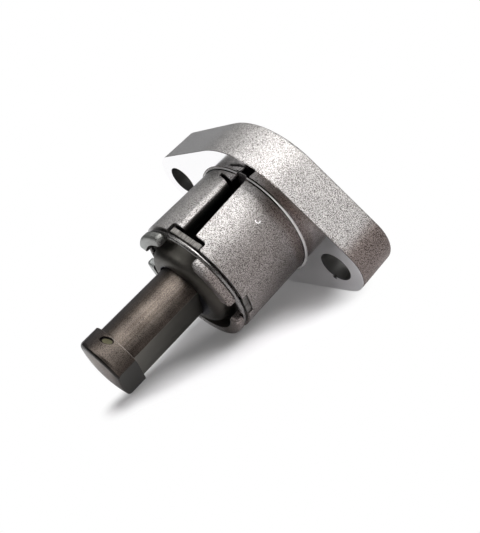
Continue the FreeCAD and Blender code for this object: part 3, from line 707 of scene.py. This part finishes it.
ringLook = {
    "light": (0.27, 0.26, 0.255, 1), "dark": (0.15, 0.145, 0.14, 1), "grainSize": 0.3 * mm,
    "blotchSize": 2.0 * mm, "speckle": 0.4, "roughness": (0.24, 0.32), "bump": 0.004 * mm,
}
innerLook = {
    "light": (0.42, 0.41, 0.40, 1), "dark": (0.34, 0.33, 0.32, 1), "grainSize": 0.12 * mm,
    "blotchSize": 2.0 * mm, "speckle": 0.4, "roughness": (0.28, 0.36), "bump": 0.001 * mm,
}
copperLook = {
    "light": (0.68, 0.40, 0.27, 1), "dark": (0.52, 0.29, 0.19, 1), "grainSize": 0.12 * mm,
    "blotchSize": 2.0 * mm, "speckle": 0.25, "roughness": (0.32, 0.42), "bump": 0.001 * mm,
}
zincLook = {
    "light": (0.64, 0.63, 0.60, 1), "dark": (0.54, 0.53, 0.50, 1), "grainSize": 0.12 * mm,
    "blotchSize": 2.0 * mm, "speckle": 0.35, "roughness": (0.28, 0.36), "bump": 0.001 * mm,
}


def dressNode(name, material):
    node = nodes[name]
    node.data.materials.clear()
    node.data.materials.append(material)


dressNode("housing", makeHousingMaterial())
dressNode("plunger", makePlungerMaterial("bronzeTonedRod", "tube"))
dressNode("plunger_cap", makePlungerMaterial("bronzeTonedCap", "cap"))
dressNode("guide_plate", makePlateMaterial())
dressNode("snap_ring", makeSteelMaterial("ringWire", ringLook))
innerMaterial = makeSteelMaterial("turnedSteel", innerLook)
for name in ("adjuster_screw", "torsion_spring", "thrust_washer"):
    dressNode(name, innerMaterial)
dressNode("sealing_washer", makeSteelMaterial("softCopper", copperLook))
zincMaterial = makeSteelMaterial("zincPlate", zincLook)
dressNode("sealing_screw", zincMaterial)
print("materials made")


# pieces whose shape follows a rule

def newShapeTree(name, inputs):
    tree = bpy.data.node_groups.new(name, "GeometryNodeTree")
    for label, kind, value in inputs:
        socket = tree.interface.new_socket(label, in_out="INPUT", socket_type="NodeSocket" + kind)
        socket.default_value = value
    tree.interface.new_socket("Material", in_out="INPUT", socket_type="NodeSocketMaterial")
    tree.interface.new_socket("Geometry", in_out="OUTPUT", socket_type="NodeSocketGeometry")
    return tree, tree.nodes.new("NodeGroupInput").outputs, tree.nodes.new("NodeGroupOutput").inputs


def endShapeTree(tree, shape, entry, leave):
    real = addNode(tree, "GeometryNodeRealizeInstances", {"Geometry": shape}).outputs[0]
    dressed = addNode(tree, "GeometryNodeSetMaterial", {
        "Geometry": real, "Material": entry["Material"]}).outputs[0]
    tree.links.new(dressed, leave["Geometry"])


def placed(tree, x, y, z):
    return addNode(tree, "ShaderNodeCombineXYZ", {"X": x, "Y": y, "Z": z}).outputs[0]


def makeShape(name, tree, values, sharpAngle=40):
    piece = addObject(name, bpy.data.meshes.new(name + "Start"))
    modifier = piece.modifiers.new("shape", "NODES")
    modifier.node_group = tree
    for item in tree.interface.items_tree:
        if item.name in values:
            modifier[item.identifier] = values[item.name]
    ready = piece.evaluated_get(bpy.context.evaluated_depsgraph_get())
    mesh = bpy.data.meshes.new_from_object(ready)
    piece.modifiers.remove(modifier)
    mesh.name = name
    mesh.materials.clear()  # the tree's mesh can have an empty slot before its material
    mesh.materials.append(values["Material"])
    mesh.polygons.foreach_set("material_index", [0] * len(mesh.polygons))
    mesh.shade_smooth()
    mesh.set_sharp_from_angle(angle=math.radians(sharpAngle))
    piece.data = mesh
    return piece


coilSizes = {
    "Wire Radius": 0.25 * mm,
    "Coil Radius": 7.2 * mm,
    "Pitch": 0.9 * mm,
    "Turns": 5.5,
    "Bend": 0.7 * mm,
    "Outer Reach": 11.6 * mm,
    "Inner Reach": 3.0 * mm,
    "Leg Angle": math.radians(107),
    "Leg Height": 1.71 * mm,
    "From": 0.0,
    "To": 0.9595,
}
innerLegShare = {"From": 0.9640, "To": 1.0}  # the leg in the screw's slot turns with the screw


def makeCoilTree():
    # wire from the outer leg round the coil to the inner leg, along the plunger axis
    tree, entry, leave = newShapeTree("coiledWire", [
        (label, "Float", value) for label, value in coilSizes.items()])
    bendSteps = 6
    coilSteps = 240
    wireSides = 12
    index = addNode(tree, "GeometryNodeInputIndex").outputs[0]

    def share(start, steps):
        return calc(tree, "DIVIDE", calc(tree, "SUBTRACT", index, start), steps, clamp=True)

    outerLeg = share(0, 1)
    firstBend = calc(tree, "MULTIPLY", share(1, bendSteps), math.pi / 2)
    coil = share(1 + bendSteps, coilSteps)
    lastBend = calc(tree, "MULTIPLY", share(1 + bendSteps + coilSteps, bendSteps), math.pi / 2)
    innerLeg = share(1 + bendSteps + coilSteps + bendSteps, 1)
    radius, bend = entry["Coil Radius"], entry["Bend"]
    outerRun = calc(tree, "SUBTRACT", calc(tree, "SUBTRACT", entry["Outer Reach"], radius), bend)
    innerRun = calc(tree, "ADD", calc(tree, "SUBTRACT", radius, bend), entry["Inner Reach"])
    reach = calc(tree, "SUBTRACT", entry["Outer Reach"], calc(tree, "MULTIPLY", outerRun, outerLeg))
    reach = calc(tree, "SUBTRACT", reach, calc(
        tree, "MULTIPLY", bend, calc(tree, "SINE", firstBend)))
    reach = calc(tree, "SUBTRACT", reach, calc(
        tree, "MULTIPLY", bend, calc(tree, "SUBTRACT", 1.0, calc(tree, "COSINE", lastBend))))
    reach = calc(tree, "SUBTRACT", reach, calc(tree, "MULTIPLY", innerRun, innerLeg))
    bendTurn = calc(tree, "DIVIDE", bend, radius)
    coilTurn = calc(tree, "SUBTRACT", calc(tree, "MULTIPLY", entry["Turns"], 2 * math.pi),
                    calc(tree, "MULTIPLY", bendTurn, 2.0))
    turned = calc(tree, "MULTIPLY", bendTurn, calc(
        tree, "SUBTRACT", 1.0, calc(tree, "COSINE", firstBend)))
    turned = calc(tree, "ADD", turned, calc(tree, "MULTIPLY", coilTurn, coil))
    turned = calc(tree, "MULTIPLY_ADD", bendTurn, calc(tree, "SINE", lastBend), turned)
    angle = calc(tree, "ADD", turned, entry["Leg Angle"])
    sunk = calc(tree, "MULTIPLY", calc(tree, "DIVIDE", turned, 2 * math.pi), entry["Pitch"])
    place = placed(tree, calc(tree, "MULTIPLY", reach, calc(tree, "COSINE", angle)),
                   calc(tree, "SUBTRACT", sunk, entry["Leg Height"]),
                   calc(tree, "MULTIPLY", reach, calc(tree, "SINE", angle)))
    line = addNode(tree, "GeometryNodeMeshLine", {
        "Count": coilSteps + 2 * bendSteps + 3}).outputs[0]
    path = addNode(tree, "GeometryNodeSetPosition", {
        "Geometry": line, "Position": place}).outputs[0]
    curve = addNode(tree, "GeometryNodeMeshToCurve", {"Mesh": path}).outputs[0]
    curve = addNode(tree, "GeometryNodeTrimCurve", {
        "Curve": curve, "Start": entry["From"], "End": entry["To"]}).outputs[0]
    section = addNode(tree, "GeometryNodeCurvePrimitiveCircle", {
        "Resolution": wireSides, "Radius": entry["Wire Radius"]}).outputs[0]
    wire = addNode(tree, "GeometryNodeCurveToMesh", {
        "Curve": curve, "Profile Curve": section, "Fill Caps": True}).outputs[0]
    endShapeTree(tree, wire, entry, leave)
    return tree


screwThreadSizes = {
    "Length": 23.8 * mm,
    "Middle": (0, -10.3 * mm, 0),
    "Crest Radius": 2.94 * mm,
    "Root Radius": 2.5 * mm,
    "Point Radius": 2.35 * mm,
    "Lead": 4.0 * mm,
    "Starts": 4,
    "Rows": 190,
    "Columns": 64,
}
plugThreadSizes = {
    "Length": 5.1 * mm,
    "Middle": (0, 9.05 * mm, 0),
    "Crest Radius": 2.97 * mm,
    "Root Radius": 2.45 * mm,
    "Point Radius": 2.48 * mm,
    "Lead": 1.0 * mm,
    "Starts": 1,
    "Rows": 56,
    "Columns": 48,
}


def makeThreadTree():
    # rod with a right-hand thread of any number of starts, its point towards -Y
    kinds = {"Middle": "Vector", "Starts": "Int", "Rows": "Int", "Columns": "Int"}
    tree, entry, leave = newShapeTree("threadedRod", [
        (label, kinds.get(label, "Float"), value) for label, value in screwThreadSizes.items()])
    crestEnd, rootStart = 0.15, 0.85  # of half a pitch
    rod = addNode(tree, "GeometryNodeMeshCylinder", {
        "Vertices": entry["Columns"], "Side Segments": entry["Rows"], "Radius": 1.0,
        "Depth": entry["Length"]}, fill_type="NGON").outputs["Mesh"]
    split = separate(tree, addNode(tree, "GeometryNodeInputPosition").outputs[0])
    pitch = calc(tree, "DIVIDE", entry["Lead"], entry["Starts"])
    turns = calc(tree, "DIVIDE", calc(tree, "ARCTAN2", split["Y"], split["X"]), 2 * math.pi)
    phase = calc(tree, "FRACT", calc(tree, "SUBTRACT", calc(tree, "DIVIDE", split["Z"], pitch),
                                     calc(tree, "MULTIPLY", turns, entry["Starts"])))
    ridge = calc(tree, "ABSOLUTE", calc(tree, "MULTIPLY_ADD", phase, 2.0, -1.0))
    radius = addNode(tree, "ShaderNodeMapRange", {
        "Value": ridge, "From Min": crestEnd, "From Max": rootStart,
        "To Min": entry["Crest Radius"], "To Max": entry["Root Radius"]}).outputs[0]
    toPoint = calc(tree, "SUBTRACT", calc(tree, "MULTIPLY", entry["Length"], 0.5), split["Z"])
    radius = calc(tree, "MINIMUM", radius, calc(tree, "ADD", toPoint, entry["Point Radius"]))
    place = placed(tree, calc(tree, "MULTIPLY", split["X"], radius),
                   calc(tree, "MULTIPLY", split["Y"], radius), split["Z"])
    threaded = addNode(tree, "GeometryNodeSetPosition", {
        "Geometry": rod, "Position": place}).outputs[0]
    laid = addNode(tree, "GeometryNodeTransform", {
        "Geometry": threaded, "Translation": entry["Middle"],
        "Rotation": (math.pi / 2, 0, 0)}).outputs[0]
    endShapeTree(tree, laid, entry, leave)
    return tree


headCut = {
    "collarStart": 1.45 * mm,
    "plugHeadStart": 11.5 * mm,
    "slack": 0.01 * mm,
    "mergeDistance": 0.002 * mm,
    "sharpAngle": 30,
}


def keepHead(name, source, start, material):
    # the head of a screw from a merged copy of its solid, closed where the shank was
    mesh = bpy.data.meshes.new(name)
    work = bmesh.new()
    work.from_mesh(nodes[source].data)
    bmesh.ops.remove_doubles(work, verts=work.verts, dist=headCut["mergeDistance"])
    shank = [face for face in work.faces
             if face.calc_center_median().y < start - headCut["slack"]]
    bmesh.ops.delete(work, geom=shank, context="FACES")
    bmesh.ops.holes_fill(work, edges=[edge for edge in work.edges if edge.is_boundary], sides=0)
    bmesh.ops.recalc_face_normals(work, faces=work.faces)
    work.to_mesh(mesh)
    work.free()
    mesh.materials.clear()
    mesh.materials.append(material)
    mesh.set_sharp_from_angle(angle=math.radians(headCut["sharpAngle"]))
    return addObject(name, mesh)


def addPiece(piece, body, source):
    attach(piece, body)
    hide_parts(source)


coilTree = makeCoilTree()
springWire = makeShape("springWire", coilTree, {**coilSizes, "Material": innerMaterial})
addPiece(springWire, "housing", "torsion_spring")
springLeg = makeShape("springInnerLeg", coilTree, {
    **coilSizes, **innerLegShare, "Material": innerMaterial})
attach(springLeg, "screw")
threadTree = makeThreadTree()
threadSharpAngle = 50
screwThread = makeShape("screwThread", threadTree, {
    **screwThreadSizes, "Material": innerMaterial}, threadSharpAngle)
addPiece(screwThread, "screw", "adjuster_screw")
screwCollar = keepHead("screwCollar", "adjuster_screw", headCut["collarStart"], innerMaterial)
addPiece(screwCollar, "screw", "adjuster_screw")
plugThread = makeShape("plugThread", threadTree, {
    **plugThreadSizes, "Material": zincMaterial}, threadSharpAngle)
addPiece(plugThread, "housing", "sealing_screw")
plugHead = keepHead("plugHead", "sealing_screw", headCut["plugHeadStart"], zincMaterial)
addPiece(plugHead, "housing", "sealing_screw")
print("spring and threads made")
